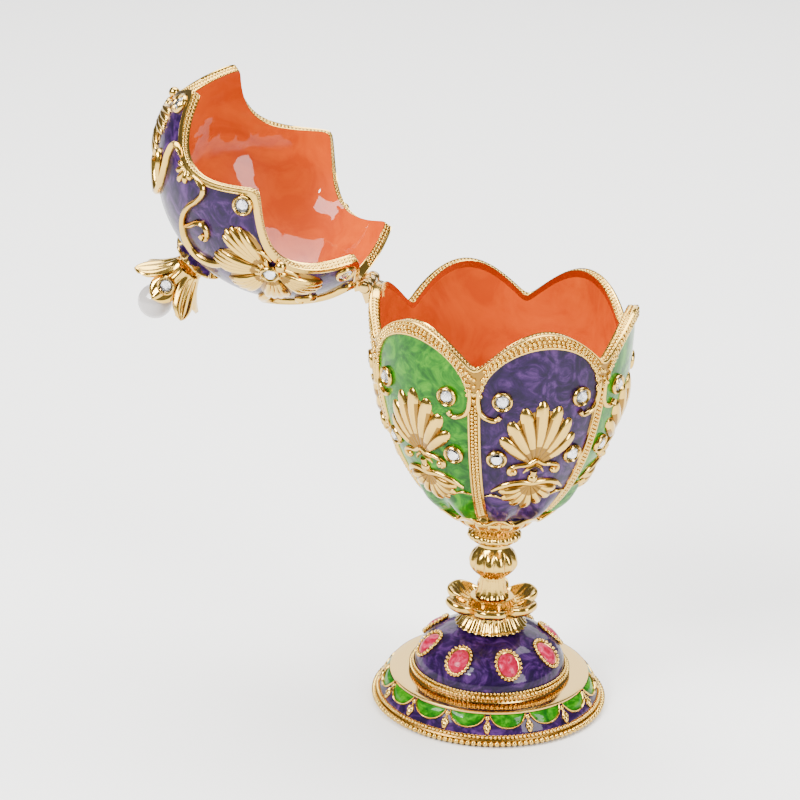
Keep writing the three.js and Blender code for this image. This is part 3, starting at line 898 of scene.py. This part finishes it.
def turned(stops, around, steps, wave):
    line = smooth_profile(stops, steps)

    def shape(u, v):
        radius, z, stop = line[round(v * (len(line) - 1))]
        angle = u * math.tau
        radius, z = wave(radius, z, angle, stop)
        return polar(radius, angle, z)
    body = bend(grid(around, len(line) - 1), shape)
    weld(body)
    return body


# %% The stem
STEM_FLUTES = 12
NECK_TOP_Z = 30.5
BALUSTER_Z, BALUSTER_TALL = 31.2, 6.0
RING_FROM_Z, CALYX_FROM_Z = 39.2, 41.9


def stem_wave(r, z, angle, stop):
    round_rib = abs(math.cos(angle * STEM_FLUTES / 2))
    if z < NECK_TOP_Z and r > 1:
        return r - 0.3 * (1 - round_rib), z
    if BALUSTER_Z < z < BALUSTER_Z + BALUSTER_TALL:
        share = math.sin(math.pi * (z - BALUSTER_Z) / BALUSTER_TALL)
        return r - 0.75 * share * (1 - round_rib) ** 1.2, z
    if RING_FROM_Z < z < CALYX_FROM_Z:
        return r - 0.4 * (1 - abs(math.cos(angle * 10))), z
    if z >= CALYX_FROM_Z and r > 1:
        share = min(1, (z - CALYX_FROM_Z) / 1.5)
        return r - 0.75 * share * (1 - abs(math.cos(angle * 9))) ** 1.3, z
    return r, z


stem = turned([(0, 25.4), (3.7, 25.4), (3.6, 26.2), (3.3, 27.4), (3.1, 28.6), (3.0, 29.4),
               (3.0, 30.0), (3.1, 30.6), (4.2, 31.3), (5.4, 32.8), (5.6, 34.1), (4.9, 35.9),
               (3.8, 37.1), (3.4, 37.8), (3.5, 38.6), (4.8, 39.1), (5.9, 39.8), (6.2, 40.5),
               (5.8, 41.3), (5.1, 41.7), (5.5, 42.2), (6.8, 43.1), (8.5, 44.3), (9.5, 45.4),
               (9.7, 46.2), (9.0, 46.5), (0, 46.5)], 180, 3, stem_wave)
finished(stem, "stem_turning", "base", "gold", gold, smooth=50)
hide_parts("stem")

# %% The flower collar
COLLAR_PETALS = 6
COLLAR_FIRST = math.radians(-20)
BELL_STOP = 3.6


def collar_wave(r, z, angle, stop):
    """Teeth round the base, then six spoon-shaped petals with notches between them."""
    if stop < BELL_STOP:
        teeth = abs(math.cos(angle * 14))
        share = max(0.0, 1 - stop / BELL_STOP) if stop > 0.5 else 0
        return r - 0.5 * (1 - teeth) * (stop > 0.4), z + 0.25 * share * (1 - teeth)
    swing_to = (angle - COLLAR_FIRST) * COLLAR_PETALS / 2
    closed = 1 - abs(math.cos(swing_to))
    share = float(np.interp(stop, (BELL_STOP, 6.5, 10, 12, 13), (0, 1, 1, 0.4, 0)))
    vein = 0.14 * math.cos(angle * COLLAR_PETALS * 5) * float(
        np.interp(stop, (9.5, 11, 12, 13), (0, 1, 1, 0)))
    return r * (1 - 0.34 * share * closed ** 1.6), z - 1.2 * share * closed ** 1.3 + vein


collar = turned([(0, 18.5), (7.7, 18.5), (7.7, 19.1), (6.8, 20.4), (6.2, 21.6), (6.8, 22.3),
                 (9.2, 22.9), (10.8, 23.8), (11.3, 24.9), (10.8, 25.75), (9.8, 25.4),
                 (7.6, 23.7), (5.8, 23.2), (5.2, 23.8), (4.9, 25.0), (4.4, 25.3), (0, 25.3)], 252,
                4, collar_wave)
finished(collar, "flower_collar_casting", "base", "gold", gold, smooth=60)
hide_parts("flower_collar")

# %% [markdown]
# ## The foot
# From the outside in: a border of round beads with a finer row inside it, a sloping skirt of
# purple enamel hung with green swags and gold buds, a flat polished ring, a rope of fine beads,
# and the purple dome with eight pink ovals. The turned body gets its finishes by height, and
# everything raised is set on it as its own piece.

# %% The turned foot
RING_Z = 6.9
RING_RADIUS = 22.9
DOME_RADIUS = 17.3
DOME_BASE_Z = 8.9
DOME_RISE = 9.6


def dome_point(share):
    a = share * math.pi / 2
    return DOME_RADIUS * math.cos(a) ** 0.86, DOME_BASE_Z + DOME_RISE * math.sin(a)


SKIRT = [(25.2, 2.5), (24.5, 3.9), (23.7, 5.2), (22.75, 6.3)]
foot_stops = [(0, 0.02), (25.3, 0.02), (25.8, 0.1), (25.95, 0.5), (25.9, 1.4), (25.5, 1.9),
              (25.2, 2.2), *SKIRT, (RING_RADIUS, 6.55),
              (RING_RADIUS, RING_Z), (22.6, RING_Z + 0.08), (18.5, RING_Z + 0.05),
              (17.9, 7.4), (17.75, 8.0), (17.3, 8.75)]
foot_stops += [dome_point(k / 8) for k in range(8) if dome_point(k / 8)[0] > 6]
foot_stops += [(0, dome_point(0.9)[1])]


def foot_line():
    line = []
    for (r0, z0), (r1, z1) in zip(foot_stops, foot_stops[1:]):
        steps = 3 if r1 > 5 else 2
        line += [(r0 + (r1 - r0) * k / steps, z0 + (z1 - z0) * k / steps) for k in range(steps)]
    return line + [foot_stops[-1]]


foot_rows = foot_line()
foot = grid(144, len(foot_rows) - 1)


def foot_finish(at):
    r, z = foot_rows[int(at.y * (len(foot_rows) - 1))]
    if z >= DOME_BASE_Z - 0.1 or (2.4 < z < 6.25 and r > 20):
        return purple
    # painted shade: the faces under the bead borders take the dark gilt
    if (r > 25.3 and z > 0.05) or (z > 7.7 and r > 17):
        return painted_shade_gilt
    return polished if z > 6.5 and r < 23 else gold


def foot_shape(u, v):
    radius, z = foot_rows[round(v * (len(foot_rows) - 1))]
    return polar(radius, u * math.tau, z)


paint(foot, (gold, purple, polished, painted_shade_gilt), foot_finish)
bend(foot, foot_shape)
weld(foot)
finished(foot, "foot_turning", "base", "foot_enamel", smooth=30)
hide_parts("foot")

# %% Bead borders and the rope
BEAD_ROWS = [(26.28, 1.0, 1.3, 1.5, 0.3, 0), (25.5, 2.05, 0.95, 1.08, 1.2, 0),
             (17.95, 8.0, 1.05, 1.2, 0.6, 0.5), (17.5, 8.8, 0.85, 0.9, 0.6, 0.5)]
border = []
for radius, z, step, size, lift, first in BEAD_ROWS:
    count = round(math.tau * radius / step)
    for k in range(count):
        angle = math.tau * (k + first) / count
        border.append(upright(polar(radius, angle, z), polar(1.0, angle, lift), size))
grained(border, 0.52, "foot_beads")


# %% Swags and buds on the skirt
SKIRT_RADIUS = 23.6
SWAGS = 16
SWAG_FIRST = math.radians(-67.5)
SWAG_HALF = SKIRT_RADIUS * math.pi / SWAGS - 0.75


def skirt_place(step):
    """Across and up the skirt from its top edge; up runs from 0 at the ring down to -4."""
    angle = SWAG_FIRST + step * math.tau / SWAGS
    low, high = SKIRT[0], SKIRT[-1]
    run = math.hypot(high[0] - low[0], high[1] - low[1])
    out_way = ((high[1] - low[1]) / run, (low[0] - high[0]) / run)

    def place(p):
        t = min(1.35, max(-0.2, -p.y / run))
        r = high[0] + (low[0] - high[0]) * t
        z = high[1] + (low[1] - high[1]) * t
        return polar(r + p.z * out_way[0], angle + p.x / SKIRT_RADIUS, z + p.z * out_way[1])
    return place


def swag(u, v):
    x = u * 2 - 1
    half_round = math.sqrt(max(0.0, 1 - x * x))
    return Vector((x * SWAG_HALF, -2.95 * half_round * v,
                   0.2 + 0.3 * math.sin(math.pi * min(1, v + 0.12)) * half_round))


def swag_edge():
    arc = [(SWAG_HALF * math.cos(math.pi * j / 8), -3.0 * math.sin(math.pi * j / 8))
           for j in range(1, 8)]
    end = SWAG_HALF + 0.25
    return moved(scroll([(end, 0.1), *arc, (-end, 0.1)], 0.5, 0.5), 0, 0, 0.22)


def bud():
    leaves = [(180, 3.0, 1.35, -1.4), (165, 2.4, 0.95, -1.1), (195, 2.4, 0.95, -1.1)]
    parts = [moved(turned_flat(drop(length, width, 0.9, root=0.35, segments=8, rings=6), degrees),
                   0, up, 0.1) for degrees, length, width, up in leaves]
    return gather(parts + [moved(drop(1.2, 1.5, 0.6, root=0.8, segments=8, rings=6), 0, -1.4, 0.1)])


swags = [lay(thickened(bend(grid(14, 6), swag), 0.5, -1, 0.001), skirt_place(k))
         for k in range(SWAGS)]
finished(gather(swags), "green_swags", "base", "cup_enamel", green, smooth=50)
trim = [lay(swag_edge(), skirt_place(k)) for k in range(SWAGS)]
trim += [lay(bud(), skirt_place(k + 0.5)) for k in range(SWAGS)]
finished(gather(trim), "skirt_gold", "base", "gold", gold, smooth=70)

# %% [markdown]
# The eight ovals on the dome are pink enamel cushions, each in a ring of small beads. They are
# laid on the dome in the same way as an ornament is laid on the egg.

# %% Ovals on the dome
OVALS = 8
OVAL_FIRST = math.radians(-62)
OVAL_Z = 14.3
OVAL_ACROSS, OVAL_TALL = 2.5, 3.15
OVAL_BEADS = 22
DOME_MM_PER_RADIAN = 11.65


def on_dome(angle, z):
    start = math.asin((z - DOME_BASE_Z) / DOME_RISE)

    def place(p):
        a = min(1.45, max(0.02, start + p.y / DOME_MM_PER_RADIAN))
        r, height = dome_point(a / (math.pi / 2))
        out_r, out_z = math.cos(a), 1.5 * math.sin(a)
        size = math.hypot(out_r, out_z)
        return polar(r + p.z * out_r / size, angle + p.x / r, height + p.z * out_z / size)
    return place


cushions, bead_spots, oval_rims = [], [], []
for k in range(OVALS):
    place = on_dome(OVAL_FIRST + k * math.tau / OVALS, OVAL_Z)
    cushion = reshape(sphere(28, 12), lambda x, y, z: (x * OVAL_ACROSS * 0.98, y * OVAL_TALL * 0.98,
                                                       z * (0.95 if z > 0 else 0.5)))
    cushions.append(lay(cushion, place))
    rim = reshape(ring_piece(1.0, 0.14, 0.14, 40),
                  lambda x, y, z: (x * OVAL_ACROSS, y * OVAL_TALL, z * 2.6 + 0.15))
    oval_rims.append(lay(rim, place))
    for j in range(OVAL_BEADS):
        a = math.tau * j / OVAL_BEADS
        bead_spots.append(spot_at(place, (OVAL_ACROSS + 0.3) * math.cos(a),
                                  (OVAL_TALL + 0.3) * math.sin(a), 0.35, size=0.98))
finished(gather(cushions), "pink_ovals", "base", "foot_enamel", pink, smooth=80)
finished(gather(oval_rims), "oval_rims", "base", "gold", gold, smooth=80)
grained(bead_spots, 0.6, "oval_beads")

# %% [markdown]
# ## The lid
# The lid is made shut, where its sizes are simple, and swung open at the end with one matrix.
# Its wall is a grid bent like the cup's: purple outside, a narrow gold band along the scalloped
# rim, a granulated rim face, and orange enamel inside.

# %% The lid's wall
LID_COLUMNS = 240
LID_BAND = [(0.0, 0.35), (0.05, 0.45), (0.35, 0.5), (0.62, 0.42), (0.8, 0.5), (0.96, 0.42),
            (1.0, 0.0)]
LID_BAND_DEPTH = 1.7
LID_FACE_PROUD = 0.45
LID_TOP_Z = WAIST_Z + LID_RISE
LID_OUTER_ROWS = 34
LID_FACE = [(0.0, 0.0), (0.06, -0.04), (0.12, 0.1), (0.5, 0.15), (0.88, 0.1), (0.95, -0.04)]
LID_INNER_ROWS = 24


def lid_rim(angle):
    return rim_height(angle) + RIM_GAP


def lid_place(angle, row):
    rim = lid_rim(angle)
    outer = egg_radius(max(rim, 90)) + LID_FACE_PROUD
    inner = egg_radius(rim) - WALL
    if row < LID_INNER_ROWS:
        rise = math.cos((row / LID_INNER_ROWS) ** 0.9 * math.pi / 2)
        z = rim + (LID_TOP_Z - WALL - rim) * rise
        near_top = min(LID_TOP_Z - 0.01, z + 0.9 * rise)
        radius = max(0.0, egg_radius(near_top) - WALL * (1 - 0.15 * rise))
        return radius if row else 0.0, z
    row -= LID_INNER_ROWS
    if row < len(LID_FACE):
        share, rise = LID_FACE[row]
        return inner + (outer - inner) * share, rim + rise
    row -= len(LID_FACE)
    if row < len(LID_BAND):
        share, lift = LID_BAND[row]
        z = rim + LID_BAND_DEPTH * share
        return egg_radius(z) + lift, z
    share = (row - len(LID_BAND) + 1) / LID_OUTER_ROWS
    z0 = rim + LID_BAND_DEPTH
    z = z0 + (LID_TOP_Z - z0) * math.sin(share * math.pi / 2)
    return (egg_radius(z), z) if share < 1 else (0.0, LID_TOP_Z)


LID_ROWS = LID_INNER_ROWS + len(LID_FACE) + len(LID_BAND) + LID_OUTER_ROWS - 1
lid_wall = grid(LID_COLUMNS, LID_ROWS)


def lid_finish(at):
    row = at.y * LID_ROWS
    if row < LID_INNER_ROWS:
        return orange
    return purple if row > LID_INNER_ROWS + len(LID_FACE) + len(LID_BAND) - 1 else gold


def lid_shape(u, v):
    angle = u * math.tau
    radius, z = lid_place(angle, round(v * LID_ROWS))
    return polar(radius, angle, z)


paint(lid_wall, (gold, purple, orange), lid_finish)
bend(lid_wall, lid_shape)
weld(lid_wall)
finished(lid_wall, "lid_wall", "lid", "lid_enamel", smooth=35, opened=True)
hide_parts("lid")
grained(rim_spots(lambda a: lid_rim(a) + 0.13, (27.6, 28.35), down=True), 0.18, "lid_rim_grain",
        body="lid", radius=RIM_GRAIN, opened=True)

# %% [markdown]
# Three arches of the lid carry a half flower with a stone at its heart: five broad petals, each
# made of four fine ribs, open away from the rim. The other three carry two long scrolls that
# start from a small leaf crest at the arch and end in a volute.

# %% Flowers
FLOWER_Z = 101.4
FLOWER_BALL_Z = 98.5
PETALS = [(-97, 13.7, 7.3), (-52, 12.1, 7.4), (0, 11.2, 7.4), (52, 12.1, 7.4), (97, 13.7, 7.3)]


def petal_piece(length, width, degrees):
    back = drop(length * 0.97, width, 0.8, root=0.3, segments=20)
    # painted shade: the petal's back under its ribs is dark, and so are the ribs' low flanks
    paint_groove_shade(back, 1)
    parts = [back]
    for lean in (-0.30, -0.10, 0.10, 0.30):
        rib = drop(length * (1.0 if abs(lean) < 0.2 else 0.93), width * 0.32, 2.1, root=0.25)
        for v in rib.data.vertices:
            t = v.co.y / length
            v.co.x += lean * width * (1.35 * t - 0.25 * t * t)
            v.co.z *= 1 - 0.2 * t
        paint_groove_shade(rib, 0.95, length * 0.85)
        parts.append(rib)
    return turned_flat(gather(parts), degrees)


def flower_piece():
    parts = [petal_piece(length, width, degrees) for degrees, length, width in PETALS]
    parts += [turned_flat(drop(3.9, 1.3, 1.35, root=0.6, segments=8, rings=6), degrees)
              for degrees in range(-120, 121, 30)]
    return gather(parts + pair([(2.0, -2.4), (4.6, -2.9), (6.6, -2.2)], 1.1, 0.9, (0.7, 1.1)))


lid_gold = []
for lobe in (0, 2, 4):
    lid_gold.append(lay(flower_piece(), on_egg(lobe * SECTOR, FLOWER_Z)))
    ball = moved(sphere(20, 12, 1.25), EGG_RADIUS + 0.45, 0, FLOWER_BALL_Z)
    ball.data.transform(Matrix.Rotation(lobe * SECTOR, 4, "Z"))
    lid_gold.append(ball)

# %% Scrolls
SCROLL_Z = 100.5
HINGE_LOBE = 3
STRAND = [(2.8, -2.6), (4.8, -3.0), (6.6, -2.6), (6.8, 0.1), (5.6, 3.6), (5.2, 6.8), (5.8, 9.5),
          (7.2, 11.9), (9.6, 12.9), (13.0, 12.0), (16.2, 9.8), (19.0, 7.2)]
VOLUTE = [(5.9, 9.2), (7.6, 7.0), (9.3, 4.5), (11.0, 3.7), (12.3, 4.7), (12.0, 6.3), (11.0, 6.1)]


def scroll_piece(crest):
    """Two strands with volutes; the crest between their feet gives way to the hinge."""
    parts = pair(STRAND, 1.5, 1.4, (0.7, 0.45)) + pair(VOLUTE, 1.25, 1.3, (0.6, 1.2))
    if crest:
        for degrees, length in ((0, 4.2), (35, 3.4), (-35, 3.4), (75, 2.9), (-75, 2.9)):
            leaf = drop(length, 1.6, 1.1, root=0.4, segments=8, rings=8)
            parts.append(moved(turned_flat(leaf, degrees), 0, -2.0, 0))
    return gather(parts)


for lobe in (1, 3, 5):
    lid_gold.append(lay(scroll_piece(crest=lobe != HINGE_LOBE), on_egg(lobe * SECTOR, SCROLL_Z)))
finished(gather(lid_gold), "lid_ornament", "lid", "gold", smooth=70, opened=True)

set_stones([on_egg((k + 0.5) * SECTOR, 93.4) for k in range(6)], "lid_cusp",
           [f"lid_cusp_stone_{k + 1}" for k in range(6)], "lid", opened=True)
set_stones([on_egg(lobe * SECTOR, FLOWER_Z) for lobe in (0, 2, 4)], "lid_flower",
           [f"lid_flower_stone_{k + 1}" for k in range(3)], "lid", sink=0.75, opened=True)

# %% [markdown]
# ## The top collar, the finial and the pearl
# A ruffled purple collar with a gold lip closes the dome. From it rises a neck with six petals:
# five broad ribbed ones that turn outward and one that hugs the pearl and carries a stone.

# %% The ruffled collar
def ruffle(r, z, angle, stop):
    share = min(1.0, max(0.0, (stop - 1.5) / 1.5)) if stop < 6 else 0
    wave = math.cos(angle * 8) * share
    return r + 0.45 * wave, z - 0.35 * wave


top_stops = [(0, 119.2), (5.4, 119.0), (4.9, 119.9), (5.0, 120.9), (5.7, 121.9), (6.05, 122.4),
             (5.7, 122.75), (4.0, 121.8), (2.9, 121.6), (2.6, 122.4), (0, 122.4)]
top_collar = turned(top_stops, 128, 3, ruffle)
paint(top_collar, (gold, purple),
      lambda at: purple if at.z < 121.7 and math.hypot(at.x, at.y) > 4.2 else gold)
finished(top_collar, "top_collar", "lid", "lid_enamel", smooth=50, opened=True)


# %% Finial petals
FINIAL_PETALS = 6
PETAL_ROOT_Z = 125.6
GEM_OUT, GEM_Z = 4.6, 130.4
GEM_TURN = math.radians(-84)


def finial_petal(angle, length, width, flare, rib_count, hug=0.0):
    """A hollowed petal with ribs on its back, its root at the neck and its tip turned out."""
    def shape(u, v):
        side = (u - 0.5) * 2
        half = width * (0.30 + 0.70 * math.sin(math.pi * min(1, 0.12 + 0.56 * v)))
        half *= math.sqrt(max(0.0, 1 - ((v - 0.7) / 0.3) ** 2)) if v > 0.7 else 1
        rib = 0.24 * math.cos(side * math.pi * rib_count) * min(1, 4 * v) * (1 - 0.5 * v)
        out = 2.5 + flare * v ** 1.5 + 0.7 * (1 - side * side) * (1 - 0.5 * v) + rib
        out -= hug * side * side
        return Vector((out, side * half, PETAL_ROOT_Z + length * v))
    petal = thickened(bend(grid(24, 20), shape), 0.7, 0, 0.002)
    petal.data.transform(Matrix.Rotation(angle, 4, "Z"))
    return petal


def finial_flutes(r, z, angle, stop):
    return r + (0.14 * math.cos(angle * 10) if 1 < stop < 11 else 0), z


finial_parts = [turned([(0, 122.1), (2.9, 122.1), (2.5, 122.8), (2.1, 123.6), (2.3, 124.4),
                        (3.0, 125.0), (2.6, 125.6), (2.9, 126.8), (3.1, 128.2), (2.8, 130.5),
                        (2.2, 132.3), (1.4, 133.1), (0, 133.1)], 72, 3, finial_flutes)]
for k in range(1, FINIAL_PETALS):
    finial_parts.append(finial_petal(GEM_TURN + k * math.tau / FINIAL_PETALS, 8.0, 3.1, 6.1, 3.0))
finial_parts.append(finial_petal(GEM_TURN, 9.0, 3.1, 3.1, 2.5, hug=0.3))
for k in range(FINIAL_PETALS):
    bud = drop(3.2, 1.8, 1.1, root=0.4, segments=10, rings=8)
    bud.data.transform(Matrix.Rotation(GEM_TURN + (k + 0.5) * math.tau / FINIAL_PETALS, 4, "Z")
                       @ Matrix.Translation((2.3, 0, 126.2)) @ Matrix.Rotation(0.35, 4, "Y")
                       @ Matrix.Rotation(math.pi / 2, 4, "Z")
                       @ Matrix.Rotation(math.pi / 2, 4, "X"))
    finial_parts.append(bud)
finial = gather(finial_parts)
finished(finial, "finial_casting", "lid", "gold", gold, smooth=60, opened=True)
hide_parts("finial")


def on_petal(p):
    return Matrix.Rotation(GEM_TURN, 3, "Z") @ Vector((GEM_OUT + p.z, p.x, GEM_Z + p.y))


set_stones([on_petal], "finial", ["finial_stone"], "lid", opened=True)

# %% The pearl
pearl = moved(sphere(64, 32, PEARL_RADIUS), 0, 0, PEARL_Z)
finished(pearl, "pearl_bead", "lid", "pearl", pearly, smooth=180, opened=True)
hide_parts("pearl")

# %% [markdown]
# ## The table, the lights and the camera
# The box stands on a plain pale floor. Gold shows what is round it, so large soft panels give
# it broad bright bands, and the world between them is a quieter grey. The camera looks a little
# down at the box from the front.

# %% Floor and lights
floor = blank(bpy.ops.mesh.primitive_plane_add, size=6, location=(0, 0, 0))
floor.name = "floor"
floor.data.materials.append(plain("floor_white", Base_Color=(0.93, 0.92, 0.90, 1),
                                  Roughness=0.6))

world = bpy.data.worlds.new("studio")
bpy.context.scene.world = world
world.use_nodes = True
world.node_tree.nodes["Background"].inputs["Color"].default_value = (1.0, 0.99, 0.975, 1)
world.node_tree.nodes["Background"].inputs["Strength"].default_value = 0.20


def panel_light(name, place, size, power, aim=(-0.02, 0, 0.08)):
    bpy.ops.object.light_add(type="AREA", location=place)
    lamp = bpy.context.object
    lamp.name = name
    lamp.data.shape = "RECTANGLE"
    lamp.data.size, lamp.data.size_y = size
    lamp.data.energy = power
    lamp.rotation_euler = (Vector(aim) - Vector(place)).to_track_quat("-Z", "Y").to_euler()


panel_light("key", (-0.55, -0.60, 0.75), (0.45, 0.45), 20)
panel_light("fill", (0.75, -0.45, 0.45), (0.30, 0.55), 11)
panel_light("top", (0.0, 0.35, 1.3), (1.3, 1.0), 52, aim=(-0.02, 0.1, 0.0))
panel_light("glint", (-0.35, -0.75, 0.60), (0.09, 0.09), 5)
panel_light("back", (-0.2, 1.1, 0.50), (1.3, 0.5), 7)

# %% Camera
camera_data = bpy.data.cameras.new("camera")
camera = bpy.data.objects.new("camera", camera_data)
bpy.context.collection.objects.link(camera)
camera_data.sensor_width = 36
camera_data.lens = 106.94
camera_data.clip_start = 0.01
heading, pitch, roll = math.radians(13.563), math.radians(19.54), math.radians(1.45)
camera.matrix_world = (Matrix.Translation(Vector((94.95, -487.88, 248.08)) * MM)
                       @ Matrix.Rotation(heading, 4, "Z")
                       @ Matrix.Rotation(math.pi / 2 - pitch, 4, "X")
                       @ Matrix.Rotation(roll, 4, "Z"))
bpy.context.scene.camera = camera
